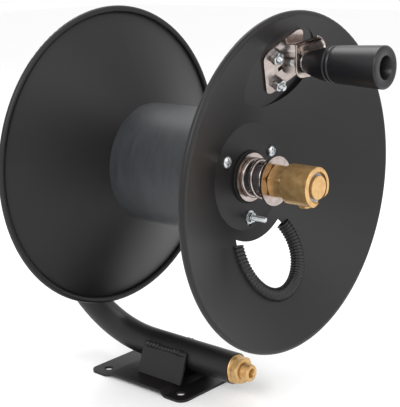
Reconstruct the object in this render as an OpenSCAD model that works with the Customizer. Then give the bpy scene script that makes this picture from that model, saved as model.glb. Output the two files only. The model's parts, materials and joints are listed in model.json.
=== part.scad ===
// Fixed hand reel for a pressure hose: a bent tube stand, a drum with two dished discs on a
// hollow axle, a spring drag brake, a brass swivel and a crank grip.
// The reel turns about X. The origin is the middle of the base bolts, on the plate's underside.

/* [Reel] */
// Outside diameter of the discs
disc_d = 305; // [290:1:370]
// Width of the reel over both rims
reel_w = 228; // [215:1:275]
// Length of the drum between the disc roots
drum_l = 126; // [104:1:140]
// Outside diameter of the drum
drum_d = 117; // [110:1:130]
// Wall of the drum
drum_wall = 1.5; // [1:0.1:3]
// Sheet thickness of the discs
disc_t = 1.5; // [1:0.1:2]
// Diameter of the wired edge round each disc
rim_bead_d = 6.5; // [5:0.1:9]
// Diameter of the flat hub face pressed in each disc
hub_flat_d = 100; // [97:1:104]

/* [Hose opening] */
// Diameter of the hose opening in the front disc
opening_d = 76; // [60:1:80]
// Distance of the opening's middle from the reel axis
opening_r = 70; // [64:1:76]
// Turn of the opening from straight down, toward +Y
opening_angle = 6; // [0:1:15]
// Outside diameter of the split loom that guards the opening
loom_d = 13; // [10:0.5:15]
// Wall of the loom
loom_wall = 1.4; // [1:0.1:2]

/* [Hub] */
// Circle on which the three hub screws stand
hub_screw_pcd = 76; // [72:1:80]
// Diameter of the hub screws
hub_screw_d = 5.4; // [4:0.1:6]
// Thickness of the hub plates inside the drum
hub_plate_t = 2.5; // [2:0.1:5]
// Length of the bearing boss of a hub plate
hub_boss_l = 16; // [10:1:30]
// Outside diameter of the bearing bushes
bush_d = 32; // [30:0.5:35]
// Length of the stud past the hub nut
hub_stud_out = 14; // [8:1:25]

/* [Stand] */
// Outside diameter of the stand tube
tube_d = 30; // [28:0.5:36]
// Wall of the stand tube
tube_wall = 3; // [2:0.1:3.5]
// Gap between the discs' rims and the lower leg
rim_gap = 23.5; // [12:0.5:60]
// Radius of the wide lower bend
lower_bend_r = 150; // [120:1:160]
// Angle of the lower bend
lower_bend_a = 60; // [50:1:64]
// Where the lower leg ends, from the base bolts' middle
leg_end_x = 93.4; // [80:0.1:120]
// Where the lower bend starts, from the base bolts' middle
bend_start_x = -17.5; // [-60:0.5:-16]
// Distance of the reel's middle from the base bolts' middle
reel_x = 51.5; // [40:0.5:65]

/* [Base] */
// Bolt spacing along the axle
bolt_x = 100; // [85:1:125]
// Bolt spacing across the axle
bolt_y = 64; // [60:1:90]
// Diameter of the bolt holes
bolt_hole_d = 9; // [6:0.5:11]
// Rim of the plate outside the bolt holes
plate_margin = 14; // [12:0.5:20]
// Thickness of the base plate
plate_t = 2.5; // [2:0.1:4]
// Height by which the middle of the plate is pressed up
plate_rise = 4; // [2:0.1:5]
// Gap between the plate and the tube
saddle_lift = 7.5; // [4:0.5:15]
// Length of the saddle
saddle_l = 57; // [40:1:60]
// Middle of the saddle, from the base bolts' middle
saddle_x = 15.5; // [14:0.5:25]
// Sheet thickness of the saddle
saddle_t = 2.5; // [2:0.1:4]

/* [Brake and swivel] */
// Outside diameter of the axle
axle_d = 25; // [22:0.5:26]
// Water way through the axle
axle_bore_d = 14; // [10:0.5:15]
// Diameter of the brake washers
brake_washer_d = 45; // [40:0.5:50]
// Length of the drag spring
spring_l = 25.5; // [24:0.5:32]
// Wire of the drag spring
spring_wire = 4; // [3:0.1:4.2]
// Outside diameter of the drag spring
spring_d = 37; // [36:0.5:39]
// Width across flats of the swivel stem's hexagon
stem_hex = 28.5; // [26:0.5:32]
// Length of the hexagon
stem_hex_l = 15.5; // [10:0.5:20]
// Diameter of the stem inside the swivel
stem_d = 21.2; // [20:0.2:22]
// Outside diameter of the swivel body
swivel_d = 36; // [35:0.5:42]
// Length of the swivel body
swivel_l = 29; // [28:0.5:36]
// Bore of the swivel's side outlet
outlet_d = 11.4; // [8:0.1:12]
// Turn of the outlet from straight down, toward +Y
outlet_angle = 25; // [0:1:40]

/* [Inlet] */
// Outside diameter of the inlet stub
inlet_d = 17.1; // [13:0.1:21.4]
// Length of the inlet stub
inlet_l = 9; // [8:0.5:25]
// Width across flats of the inlet's hexagon
inlet_hex = 24; // [23:0.5:28]
// Bore of the inlet
inlet_bore_d = 8.6; // [6:0.1:11]

/* [Crank] */
// Height of the grip's axis above the reel axis
grip_z = 106.5; // [100:0.5:110]
// Offset of the grip's axis along Y
grip_y = 14; // [8:1:18]
// Length of the grip
grip_l = 79; // [70:1:110]
// Diameter of the grip's small end
grip_small_d = 18.4; // [18:0.2:24]
// Diameter of the grip's outer end
grip_big_d = 37; // [34:0.5:42]
// Diameter of the grip's open end bore
grip_bore_d = 20; // [18:0.5:21]
// Diameter of the crank bolt
crank_bolt_d = 8; // [6:0.5:8.5]
// Sheet thickness of the crank bracket and yoke
bracket_t = 2; // [1.5:0.1:3]
// Space between the rear lug and the yoke's leg
yoke_gap = 12.4; // [9:0.2:18]
// Width of the yoke and the rear lug
yoke_w = 27.6; // [24:0.2:31]
// Length of the thumb tab on the yoke
tab_l = 23; // [15:1:30]

/* [Hidden] */

fine = 96;              // facets that a round surface is drawn with
far = 500;              // longer than any piece, for cuts
run_gap = 0.05;         // radial running clearance
face_gap = 0.1;         // end play between faces that turn on each other
fit_gap = 0.2;          // radial clearance of a screw in its hole

powder_black = "#2e2c2f";
drum_black = "#3b3e44";
nickel = "#c9bfb9";
zinc = "#b9c0c2";
brass = "#c39a5c";
steel = "#8d8d8f";
rubber = "#1c1c1e";
nylon = "#d8d4c8";

// Disc section in (radius, axis): the flat hub, the cone and the wired edge
drum_r = drum_d/2;
bead_r = rim_bead_d/2;
bead_c = [disc_d/2 - bead_r, reel_w/2 - bead_r];
root = [drum_r, drum_l/2];
bead_line = bead_c - root;
dish_a = atan2(bead_line[1], bead_line[0]) + asin((bead_r - disc_t)/norm(bead_line));
hub_flat_r = hub_flat_d/2;
flat_in = drum_l/2 - (drum_r - hub_flat_r)*tan(dish_a);    // inner side of the hub flat
flat_out = flat_in + disc_t;                               // outer side of the hub flat
function cone_in(r) = drum_l/2 + (r - drum_r)*tan(dish_a);
function cone_out(r) = cone_in(r) + disc_t/cos(dish_a);

// Stand tube
tube_r = tube_d/2;
tube_bore_r = tube_r - tube_wall;
plate_top = plate_t + plate_rise;
tube_z = plate_top + saddle_lift + tube_r;
axle_h = tube_z + tube_r + rim_gap + disc_d/2;             // height of the reel axis
bush_flange_t = 3;
thrust_t = 2;
rear_thrust_x = -flat_out - bush_flange_t - face_gap - thrust_t;   // where the upper leg ends
bend_end = [bend_start_x - lower_bend_r*sin(lower_bend_a),
            tube_z + lower_bend_r*(1 - cos(lower_bend_a))];
upper_bend_r = (axle_h - bend_end[1])/(1 + cos(lower_bend_a));
upper_bend_x = bend_end[0] + upper_bend_r*sin(lower_bend_a);
bend_key = [2, 0.02];                                      // length and depth of the key between bends
bend_ease = 0.01;                                          // angle left free between the bends
socket_l = 20;                                             // axle spigot inside the tube

// Base plate and saddle
plate_l = bolt_x + 2*plate_margin;
plate_w = bolt_y + 2*plate_margin;
plate_corner_r = 9;
ear_l = 2*plate_margin - 5;                                // flat ear at each end
joggle_l = 7;                                              // slope between ear and middle
saddle_lean = 20.7;                                        // lean of a skirt from upright
saddle_bite = 0.2;                                         // depth of the tube's seat in a skirt
braze_l = 2.2;

// Hub
screw_angles = [30, 150, 270];
stud_angle = 270;
screw_head_d = 2*hub_screw_d;
screw_head_h = 0.65*hub_screw_d;
screw_r = hub_screw_d/2;
pcd_r = hub_screw_pcd/2;
hub_nut_h = 4;
hub_nut_af = 1.6*hub_screw_d;
screw_tip = 3;                                             // thread showing past a nut
hub_plate_r = hub_flat_r - 2;
plate_in = flat_in - hub_plate_t;                          // inner side of the hub plate
boss_wall = 3;
slot_play = [-3, 6];                                       // the stud slot's reach along the radius
stud_washer_t = 1.2;
stud_washer_d = 2.3*hub_screw_d;
stud_nut_h = 3.6;

// Split loom
loom_r = loom_d/2;
loom_bore_r = loom_r - loom_wall;
loom_slot = disc_t - 0.1;                                  // the slot grips the sheet
loom_steps = 44;
loom_end_r = drum_r + loom_r + 0.5;                        // its ends clear the drum
loom_reach = acos((loom_end_r^2 - (opening_d/2)^2 - opening_r^2)/(opening_d*opening_r));

// Brake stack, measured from the middle of the reel
lining_t = 1.5;
lining_d = brake_washer_d + 4;
brake_washer_t = 2;
washer_bore_r = axle_d/2 + fit_gap;
inner_washer_x = flat_out + lining_t + face_gap;
spring_x = inner_washer_x + brake_washer_t;
outer_washer_x = spring_x + spring_l;
hex_x = outer_washer_x + brake_washer_t;
spring_turns = 3.3;
flat_turns = 0.5;                                          // closed part at each end of the spring
spring_steps = 24;                                         // rings a turn
spring_sides = 10;
end_grind = 0.3;                                           // wire ground off each end

// Swivel
stem_r = stem_d/2;
stem_thread_r = axle_d/2 - 2.5;
stem_thread_l = 16;
stem_bore_d = 10;
stem_proud = 1.5;                                          // stem end past the body
swivel_r = swivel_d/2;
swivel_x = hex_x + stem_hex_l + face_gap;
swivel_end = swivel_x + swivel_l;
clip_t = 1.2;
clip_wide = 2.2;                                           // clip's rim past the stem
clip_deep = 0.8;                                           // clip's seat in the stem
pocket_l = 3.5;                                            // counterbore round the stem's end
pocket_r = stem_r + clip_wide + 1.2;
seal_l = 2.4;
seal_deep = 1.6;
seal_starts = [swivel_x + 2.6, swivel_end - pocket_l - 4.8];
gallery_l = outlet_d + 1.6;
gallery_r = stem_r + 1.2;
outlet_x = (seal_starts[0] + seal_l + seal_starts[1])/2;
outlet_flat = 0.74*swivel_r;                               // distance of the outlet's flat
outlet_boss_d = outlet_d + 7;
outlet_boss_end = 19*swivel_r/18;
cross_hole_d = 6;

// Crank bracket: a flat pad pressed in the front disc carries it
pad_r = 43;                                                // radius of the pad
pad_turn = 3;                                              // turn of the pad from straight up
pad_mid = grip_z - 4.5;                                    // height of the pad's middle
pad_wall_h = 7;                                            // more than the pad's depth
row_turn = 51.2;                                           // lean of the bolt row
bracket_l = 57;
bracket_w = 47;
bracket_corner_r = 9;
row_mid = [-3.6, -1.5];                                    // bolt row's middle on the pad
bracket_shift = [-1.5, 10.5];                              // plate's middle from the row's middle
row_pitch = 37.4;
row_bolt_d = 6.35;
row_nut_af = 11.1;
row_nut_h = 5.5;
row_bolt_out = 4;                                          // thread past the nut
row_head_h = 4;
key_hole = 5.5;
key_mid = [2.2, 5];

// Rear lug and yoke
lug_x = cone_out(grip_z) + bracket_t/cos(dish_a) + 3;      // back of the rear lug
leg_x = lug_x + bracket_t + yoke_gap;                      // back of the yoke's leg
yoke_top = 18;
lug_drop = 10;
leg_drop = 13;
leg_corner_r = 8;
tab_lift = 17;
tab_r = 8;
tab_roll = [8, 56, 105];                                   // start, middle and end of the roll

// Grip
yoke_washer_t = 1.2;
grip_washer_t = 1.5;
grip_x = leg_x + bracket_t + yoke_washer_t + face_gap;
grip_web_l = 28;                                           // solid part that turns on the bolt
grip_neck_l = 28;
grip_neck_d = 0.87*grip_big_d;
groove_l = 1.6;
groove_deep = 0.8;
grip_edge = 2;
crank_head_h = 5.3;
crank_head_af = 13;
crank_nut_h = 6.5;
crank_nut_af = 13;
crank_washer_d = 16;
crank_bolt_x = lug_x - 0.6;
crank_head_x = grip_x + grip_web_l + face_gap + grip_washer_t;

// ---- helpers -------------------------------------------------------------------------------

// Reel coordinates: X along the axis, Z up, origin in the middle of the reel
module in_reel() {
    translate([reel_x, 0, axle_h])
        children();
}

// +Z of the piece runs along the reel axis, from x
module on_axis(x = 0) {
    in_reel()
        translate([x, 0, 0])
            rotate([0, 90, 0])
                children();
}

// +Z of the piece runs along the grip's axis, from x
module on_grip_axis(x) {
    in_reel()
        translate([x, grip_y, grip_z])
            rotate([0, 90, 0])
                children();
}

module rod(h, r) {
    cylinder(h = h, r = r, $fn = fine);
}

module tube(h, r_out, r_in) {
    difference() {
        rod(h, r_out);
        translate([0, 0, -1]) rod(h + 2, r_in);
    }
}

module hexagon(h, af) {
    cylinder(h = h, d = af/cos(30), $fn = 6);
}

module hex_nut(h, af, bore_r) {
    difference() {
        hexagon(h, af);
        translate([0, 0, -1]) rod(h + 2, bore_r);
    }
}

// Flat plate with four round corners, middle at the origin
module round_plate(l, w, r, h) {
    translate([-l/2 + r, -w/2, 0]) cube([l - 2*r, w, h]);
    translate([-l/2, -w/2 + r, 0]) cube([l, w - 2*r, h]);
    for (sx = [-1, 1], sy = [-1, 1])
        translate([sx*(l/2 - r), sy*(w/2 - r), 0]) rod(h, r);
}

// Solid through a row of rings of points, closed by a flat cap at each end
module sweep(rings) {
    m = len(rings[0]);
    n = len(rings);
    sides = [
        for (i = [0:n - 2], j = [0:m - 1])
            [i*m + j, (i + 1)*m + j, (i + 1)*m + (j + 1) % m, i*m + (j + 1) % m]
    ];
    start_cap = [for (j = [0:m - 1]) j];
    end_cap = [for (j = [m - 1:-1:0]) (n - 1)*m + j];
    polyhedron(points = [for (ring = rings) each ring], faces = concat(sides, [start_cap, end_cap]));
}

// ---- stand -----------------------------------------------------------------------------------

// The stand's path as a round bar: lower leg, wide bend, tight bend, upper leg
module stand_path(r) {
    translate([bend_start_x, 0, tube_z])
        rotate([0, 90, 0])
            rod(leg_end_x - bend_start_x, r);
    translate([bend_start_x, 0, tube_z + lower_bend_r])
        rotate([90, 0, 0])
            mirror([0, 1, 0])
                rotate([0, 0, 90])
                    rotate_extrude(angle = lower_bend_a - bend_ease, $fn = fine)
                        translate([lower_bend_r, 0]) circle(r = r, $fn = fine);
    translate([bend_end[0], 0, bend_end[1]])
        rotate([0, lower_bend_a - 90, 0])
            translate([0, 0, -bend_key[0]/2])
                rod(bend_key[0], r - bend_key[1]);
    translate([upper_bend_x, 0, axle_h - upper_bend_r])
        rotate([90, 0, 0])
            rotate([0, 0, 90])
                rotate_extrude(angle = 180 - lower_bend_a, $fn = fine)
                    translate([upper_bend_r, 0]) circle(r = r, $fn = fine);
    translate([upper_bend_x, 0, axle_h])
        rotate([0, 90, 0])
            rod(reel_x + rear_thrust_x - upper_bend_x, r);
}

module stand_tube() {
    color(powder_black)
        difference() {
            stand_path(tube_r);
            stand_path(tube_bore_r);
        }
}

// Pressed plate: two flat ears with a raised middle
module base_plate() {
    half = plate_l/2;
    knee = half - ear_l;
    shelf = knee - joggle_l;
    color(powder_black)
        difference() {
            intersection() {
                translate([0, plate_w/2, 0])
                    rotate([90, 0, 0])
                        linear_extrude(plate_w)
                            polygon([
                                [-half, 0], [-knee, 0], [-shelf, plate_rise],
                                [shelf, plate_rise], [knee, 0], [half, 0],
                                [half, plate_t], [knee, plate_t], [shelf, plate_top],
                                [-shelf, plate_top], [-knee, plate_t], [-half, plate_t]
                            ]);
                round_plate(plate_l, plate_w, plate_corner_r, plate_top);
            }
            for (sx = [-1, 1], sy = [-1, 1])
                translate([sx*bolt_x/2, sy*bolt_y/2, -1])
                    rod(plate_t + 2, bolt_hole_d/2);
        }
}

// One leaning side of the saddle, on the tube's +Y side, welded to the plate and the tube
module saddle_skirt() {
    color(powder_black)
        difference() {
            translate([saddle_x - saddle_l/2, 0, tube_z])
                rotate([saddle_lean, 0, 0])
                    translate([0, tube_r - saddle_bite, -2*tube_r])
                        cube([saddle_l, saddle_t, 2*tube_r + 1]);
            translate([-far/2, -far/2, plate_top - far])
                cube([far, far, far]);
            translate([-far/2, 0, tube_z])
                rotate([0, 90, 0])
                    rod(far, tube_r);
        }
}

module saddle_skirt_left() {
    mirror([0, 1, 0]) saddle_skirt();
}

module saddle_skirt_right() {
    saddle_skirt();
}

// Brass inlet brazed in the tube's lower end
module inlet_fitting() {
    hex_l = 8;
    spigot_l = 15;
    chamfer = 1;
    color(brass)
        translate([leg_end_x, 0, tube_z])
            rotate([0, 90, 0])
                difference() {
                    union() {
                        translate([0, 0, -spigot_l]) rod(spigot_l + braze_l, tube_bore_r);
                        translate([0, 0, braze_l]) hexagon(hex_l, inlet_hex);
                        translate([0, 0, braze_l + hex_l - 1])
                            rod(inlet_l + 1 - chamfer, inlet_d/2);
                        translate([0, 0, braze_l + hex_l + inlet_l - chamfer])
                            cylinder(h = chamfer, r1 = inlet_d/2, r2 = inlet_d/2 - chamfer, $fn = fine);
                    }
                    translate([0, 0, -spigot_l - 1]) rod(far, inlet_bore_d/2);
                }
}

// Ring of braze between the tube's end and the hexagon
module inlet_braze() {
    color(brass)
        translate([leg_end_x, 0, tube_z])
            rotate([0, 90, 0])
                tube(braze_l, tube_r - 1.4, tube_bore_r);
}

// Hollow axle, its spigot welded in the tube's upper end
module axle() {
    axle_l = hex_x - rear_thrust_x;
    color(steel)
        on_axis(rear_thrust_x)
            difference() {
                union() {
                    translate([0, 0, -socket_l]) rod(socket_l, tube_bore_r);
                    rod(axle_l, axle_d/2);
                }
                translate([0, 0, -socket_l - 1]) rod(far, axle_bore_d/2);
                translate([0, 0, axle_l - stem_thread_l]) rod(far, stem_thread_r);
            }
}

module rear_thrust_washer() {
    color(nylon)
        on_axis(rear_thrust_x)
            tube(thrust_t, tube_r + 4, washer_bore_r);
}

// ---- reel ------------------------------------------------------------------------------------

module drum_shell() {
    bore_r = drum_r - drum_wall;
    color(drum_black)
        on_axis()
            rotate_extrude($fn = fine)
                polygon([
                    [bore_r, -cone_in(bore_r)], [drum_r, -drum_l/2],
                    [drum_r, drum_l/2], [bore_r, cone_in(bore_r)]
                ]);
}

// Dished disc with its wired edge, outer side toward +Z
module dished_disc() {
    out = [-sin(dish_a), cos(dish_a)];
    rotate_extrude($fn = fine)
        polygon([
            [bush_d/2, flat_in], [hub_flat_r, flat_in],
            bead_c + out*(bead_r - disc_t), bead_c + out*bead_r,
            [hub_flat_r - disc_t*tan(dish_a/2), flat_out], [bush_d/2, flat_out]
        ]);
    rotate_extrude($fn = fine)
        translate(bead_c) circle(r = bead_r, $fn = fine);
}

// Puts a piece at hub screws, with +Z along the reel axis and +Y along the radius
module at_hub_screws(angles) {
    for (a = angles)
        rotate([a, 0, 0])
            translate([0, pcd_r, 0])
                rotate([0, 90, 0])
                    children();
}

module rear_disc() {
    color(powder_black)
        in_reel()
            difference() {
                rotate([0, -90, 0]) dished_disc();
                at_hub_screws(screw_angles)
                    translate([0, 0, -far]) rod(far, screw_r + fit_gap);
            }
}

// Frame of the crank pad: +Z out of the disc, +X along the rim toward +Y, +Y up the slope
module on_pad() {
    rotate([-pad_turn, 0, 0])
        translate([cone_out(pad_mid), 0, pad_mid])
            rotate([0, 90 + dish_a, 0])
                rotate([0, 0, 90])
                    children();
}

// Frame of the bolt row on the pad: +X along the row
module on_row() {
    on_pad()
        translate([row_mid[0], row_mid[1], 0])
            rotate([0, 0, -row_turn])
                children();
}

module at_row_bolts() {
    on_row()
        for (side = [-1, 1])
            translate([side*row_pitch/2, 0, 0])
                children();
}

// Everything that lies behind the front disc's outer face
module behind_cone() {
    skin = 0.01;
    rotate([0, 90, 0])
        rotate_extrude($fn = fine)
            polygon([
                [0, 0], [disc_d/2, 0], [disc_d/2, cone_out(disc_d/2) - skin],
                [0, cone_out(0) - skin]
            ]);
}

module opening_cut() {
    rotate([opening_angle, 0, 0])
        translate([0, 0, -opening_r])
            rotate([0, 90, 0])
                rod(far, opening_d/2);
}

module front_disc() {
    land = 0.8;                    // sheet left outside the drum's end
    slot_w = hub_screw_d + 2*fit_gap;
    color(powder_black)
        in_reel()
            difference() {
                union() {
                    rotate([0, 90, 0]) dished_disc();
                    intersection() {
                        on_pad()
                            translate([0, 0, -disc_t]) rod(disc_t + pad_wall_h, pad_r + disc_t);
                        behind_cone();
                    }
                }
                on_pad() rod(3*pad_wall_h, pad_r);
                at_row_bolts()
                    translate([0, 0, -far/20]) rod(far/10, row_bolt_d/2 + fit_gap);
                at_hub_screws([for (a = screw_angles) if (a != stud_angle) a])
                    rod(far, screw_r + fit_gap);
                at_hub_screws([stud_angle]) {
                    for (play = slot_play)
                        translate([0, play, 0]) rod(far, slot_w/2);
                    translate([-slot_w/2, slot_play[0], 0])
                        cube([slot_w, slot_play[1] - slot_play[0], far]);
                }
                difference() {
                    opening_cut();
                    rotate([0, 90, 0]) rod(far, drum_r + land);
                }
            }
}

// Round plate with a bearing boss, boss toward -Z
module hub_plate() {
    difference() {
        union() {
            translate([0, 0, plate_in]) rod(hub_plate_t, hub_plate_r);
            translate([0, 0, plate_in - hub_boss_l]) rod(hub_boss_l, bush_d/2 + boss_wall);
        }
        rod(far, bush_d/2);
        for (a = screw_angles)
            rotate([0, 0, a])
                translate([0, pcd_r, 0]) rod(far, screw_r + fit_gap);
    }
}

module rear_hub_plate() {
    color(steel)
        on_axis()
            mirror([0, 0, 1]) hub_plate();
}

module front_hub_plate() {
    color(steel)
        on_axis() hub_plate();
}

// Bearing bush, flush with the disc unless it has a flange outside
module bush(flange) {
    difference() {
        union() {
            translate([0, 0, plate_in - hub_boss_l])
                rod(flat_out - plate_in + hub_boss_l, bush_d/2);
            if (flange)
                translate([0, 0, flat_out]) rod(bush_flange_t, bush_d/2 + boss_wall);
        }
        rod(far, axle_d/2 + run_gap);
    }
}

module rear_bush() {
    color(nylon)
        on_axis()
            mirror([0, 0, 1]) bush(true);
}

module front_bush() {
    color(nylon)
        on_axis() bush(false);
}

// Pan head screw through disc and hub plate, head on the outside
module hub_screw() {
    dome_r = screw_head_d;
    shank_l = flat_out - plate_in + hub_nut_h + screw_tip;
    translate([0, 0, flat_out]) {
        translate([0, 0, -shank_l]) rod(shank_l, screw_r);
        intersection() {
            rod(screw_head_h, screw_head_d/2);
            translate([0, 0, screw_head_h - dome_r]) sphere(r = dome_r, $fn = fine);
        }
    }
}

module hub_nut() {
    translate([0, 0, plate_in - hub_nut_h]) hex_nut(hub_nut_h, hub_nut_af, screw_r);
}

module rear_hub_screws() {
    color(zinc)
        in_reel()
            mirror([1, 0, 0])
                at_hub_screws(screw_angles) hub_screw();
}

module rear_hub_nuts() {
    color(zinc)
        in_reel()
            mirror([1, 0, 0])
                at_hub_screws(screw_angles) hub_nut();
}

module front_hub_screws() {
    color(zinc)
        in_reel()
            at_hub_screws([for (a = screw_angles) if (a != stud_angle) a]) hub_screw();
}

module front_hub_nuts() {
    color(zinc)
        in_reel()
            at_hub_screws([for (a = screw_angles) if (a != stud_angle) a]) hub_nut();
}

// Long screw from inside the drum, in the slotted hole
module hub_stud() {
    stud_l = flat_out - plate_in + stud_washer_t + stud_nut_h + hub_stud_out;
    color(zinc)
        in_reel()
            at_hub_screws([stud_angle])
                translate([0, 0, plate_in]) {
                    rod(stud_l, screw_r);
                    translate([0, 0, -hub_nut_h]) hexagon(hub_nut_h, hub_nut_af);
                }
}

module hub_stud_washer() {
    color(zinc)
        in_reel()
            at_hub_screws([stud_angle])
                translate([0, 0, flat_out]) tube(stud_washer_t, stud_washer_d/2, screw_r + fit_gap);
}

module hub_stud_nut() {
    color(zinc)
        in_reel()
            at_hub_screws([stud_angle])
                translate([0, 0, flat_out + stud_washer_t])
                    hex_nut(stud_nut_h, hub_nut_af, screw_r);
}

// Split loom on the edge of the hose opening: it follows the circle where that meets the cone

// C section of the loom in (across the sheet's plane, along its normal), slot toward +X
function loom_section() =
    let (open_out = asin(loom_slot/2/loom_r), open_in = asin(loom_slot/2/loom_bore_r), n = 15)
    concat(
        [for (i = [0:n]) let (a = open_out + i*(360 - 2*open_out)/n) loom_r*[cos(a), sin(a)]],
        [for (i = [n:-1:0]) let (a = open_in + i*(360 - 2*open_in)/n) loom_bore_r*[cos(a), sin(a)]]
    );

// Ring of the loom where the opening's circle has turned by a from its lowest point
function loom_ring(a) =
    let (
        y = opening_d/2*sin(a),
        z = -opening_r - opening_d/2*cos(a),
        r = norm([y, z]),
        dr = -opening_d/2*opening_r*sin(a)/r,
        along = [dr*tan(dish_a), opening_d/2*cos(a), opening_d/2*sin(a)],
        normal = [cos(dish_a), -sin(dish_a)*y/r, -sin(dish_a)*z/r],
        across = cross(normal, along)/norm(along),
        middle = [cone_in(r) + disc_t/2/cos(dish_a), y, z]
    )
    [for (p = loom_section()) middle - p[0]*across + p[1]*normal];

module opening_trim() {
    color(rubber)
        in_reel()
            rotate([opening_angle, 0, 0])
                sweep([
                    for (i = [0:loom_steps])
                        loom_ring(loom_reach*(2*i/loom_steps - 1))
                ]);
}

// Crank bracket: rounded plate on the pad, with a square key hole
module crank_bracket() {
    color(nickel)
        in_reel()
            difference() {
                on_row()
                    translate([bracket_shift[0], bracket_shift[1], 0])
                        round_plate(bracket_l, bracket_w, bracket_corner_r, bracket_t);
                at_row_bolts()
                    translate([0, 0, -1]) rod(bracket_t + 2, row_bolt_d/2 + fit_gap);
                on_row()
                    translate([key_mid[0] - key_hole/2, key_mid[1] - key_hole/2, -1])
                        cube([key_hole, key_hole, bracket_t + 2]);
            }
}

module bracket_bolts() {
    color(zinc)
        in_reel()
            at_row_bolts()
                translate([0, 0, -disc_t]) {
                    rod(disc_t + bracket_t + row_nut_h + row_bolt_out, row_bolt_d/2);
                    translate([0, 0, -row_head_h]) hexagon(row_head_h, row_nut_af);
                }
}

module bracket_nuts() {
    color(zinc)
        in_reel()
            at_row_bolts()
                translate([0, 0, bracket_t]) hex_nut(row_nut_h, row_nut_af, row_bolt_d/2);
}

// Everything behind the bracket's outer face, to trim what is welded on it
module behind_bracket() {
    on_pad()
        translate([-far/2, -far/2, bracket_t - far])
            cube([far, far, far]);
}

// Upright plate across the grip's axis from z0 to z1, its lower corners round
module leg_plate(x, z0, z1) {
    translate([x, grip_y - yoke_w/2 + leg_corner_r, z0])
        cube([bracket_t, yoke_w - 2*leg_corner_r, z1 - z0]);
    translate([x, grip_y - yoke_w/2, z0 + leg_corner_r])
        cube([bracket_t, yoke_w, z1 - z0 - leg_corner_r]);
    for (side = [-1, 1])
        translate([x, grip_y + side*(yoke_w/2 - leg_corner_r), z0 + leg_corner_r])
            rotate([0, 90, 0])
                rod(bracket_t, leg_corner_r);
}

module crank_bolt_hole() {
    on_grip_axis(0) rod(far, crank_bolt_d/2 + fit_gap);
}

// Lug welded upright on the bracket, it steadies the end of the crank bolt
module crank_rear_lug() {
    color(nickel)
        difference() {
            in_reel()
                difference() {
                    leg_plate(lug_x, grip_z - lug_drop, grip_z + yoke_top);
                    behind_bracket();
                }
            crank_bolt_hole();
        }
}

// Bent strap welded on the bracket: top web, leg with the bolt hole and thumb tab
// The thumb tab: a tongue rolled over toward +Y, on the leg's near top corner
module yoke_tab(top) {
    translate([leg_x + bracket_t, grip_y - yoke_w/2 - 0.4, top])
        rotate([0, -tab_lift, 0])
            translate([-bracket_t, 0, -tab_r])
                rotate([0, 90, 0])
                    intersection() {
                        tube(tab_l + bracket_t, tab_r, tab_r - bracket_t);
                        linear_extrude(tab_l + bracket_t)
                            polygon(concat([[0, 0]], [for (a = tab_roll)
                                [-2*tab_r*cos(a), 2*tab_r*sin(a)]]));
                    }
}

module crank_yoke() {
    web_z = grip_z + yoke_top - bracket_t;
    color(nickel)
        difference() {
            in_reel() {
                difference() {
                    translate([lug_x, grip_y - yoke_w/2, web_z])
                        cube([leg_x + bracket_t - lug_x, yoke_w, bracket_t]);
                    behind_bracket();
                }
                leg_plate(leg_x, grip_z - leg_drop, grip_z + yoke_top);
                yoke_tab(web_z + bracket_t);
            }
            crank_bolt_hole();
        }
}

module crank_bolt() {
    color(zinc)
        on_grip_axis(crank_bolt_x) {
            rod(crank_head_x - crank_bolt_x, crank_bolt_d/2);
            translate([0, 0, crank_head_x - crank_bolt_x]) hexagon(crank_head_h, crank_head_af);
        }
}

// Lock nut behind the yoke's leg
module crank_nut() {
    color(zinc)
        on_grip_axis(leg_x - crank_nut_h)
            hex_nut(crank_nut_h, crank_nut_af, crank_bolt_d/2);
}

module yoke_washer() {
    color(zinc)
        on_grip_axis(leg_x + bracket_t)
            tube(yoke_washer_t, crank_washer_d/2, crank_bolt_d/2 + fit_gap);
}

module grip_washer() {
    color(zinc)
        on_grip_axis(crank_head_x - grip_washer_t)
            tube(grip_washer_t, crank_washer_d/2, crank_bolt_d/2 + fit_gap);
}

// Flared grip, open at its outer end, with two grooves at the neck
module grip() {
    neck_r = grip_neck_d/2;
    end_r = grip_big_d/2;
    neck_top = grip_neck_l + 5*groove_l;
    color(rubber)
        on_grip_axis(grip_x)
            difference() {
                union() {
                    rotate_extrude($fn = fine)
                        polygon([
                            [0, 0], [grip_small_d/2 - 1, 0], [grip_small_d/2, 1],
                            [grip_small_d/2 + 0.62*(neck_r - grip_small_d/2), grip_neck_l/2],
                            [neck_r, grip_neck_l], [neck_r, neck_top],
                            [end_r - 0.5, grip_l - grip_edge - 10], [end_r, grip_l - grip_edge],
                            [end_r - grip_edge, grip_l - grip_edge], [end_r - grip_edge, grip_l],
                            [0, grip_l]
                        ]);
                    translate([0, 0, grip_l - grip_edge])
                        rotate_extrude($fn = fine)
                            translate([end_r - grip_edge, 0]) circle(r = grip_edge, $fn = fine);
                }
                for (i = [1, 3])
                    translate([0, 0, grip_neck_l + i*groove_l])
                        tube(groove_l, grip_big_d, neck_r - groove_deep);
                translate([0, 0, grip_web_l]) rod(far, grip_bore_d/2);
                translate([0, 0, -1]) rod(far, crank_bolt_d/2 + run_gap);
            }
}

// ---- brake and swivel --------------------------------------------------------------------------

module brake_lining() {
    color(rubber)
        on_axis(flat_out)
            tube(lining_t, lining_d/2, bush_d/2);
}

module inner_washer() {
    color(nickel)
        on_axis(inner_washer_x)
            tube(brake_washer_t, brake_washer_d/2, washer_bore_r);
}

module outer_washer() {
    color(nickel)
        on_axis(outer_washer_x)
            tube(brake_washer_t, brake_washer_d/2, washer_bore_r);
}

// Distance of the wire's middle from the spring's inner end, after t turns
function spring_rise(t) =
    let (
        active = spring_turns - 2*flat_turns,
        lift = spring_l - spring_wire + 2*end_grind
    )
    spring_wire/2 - end_grind + lift*max(0, min(1, (t - flat_turns)/active));

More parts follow.
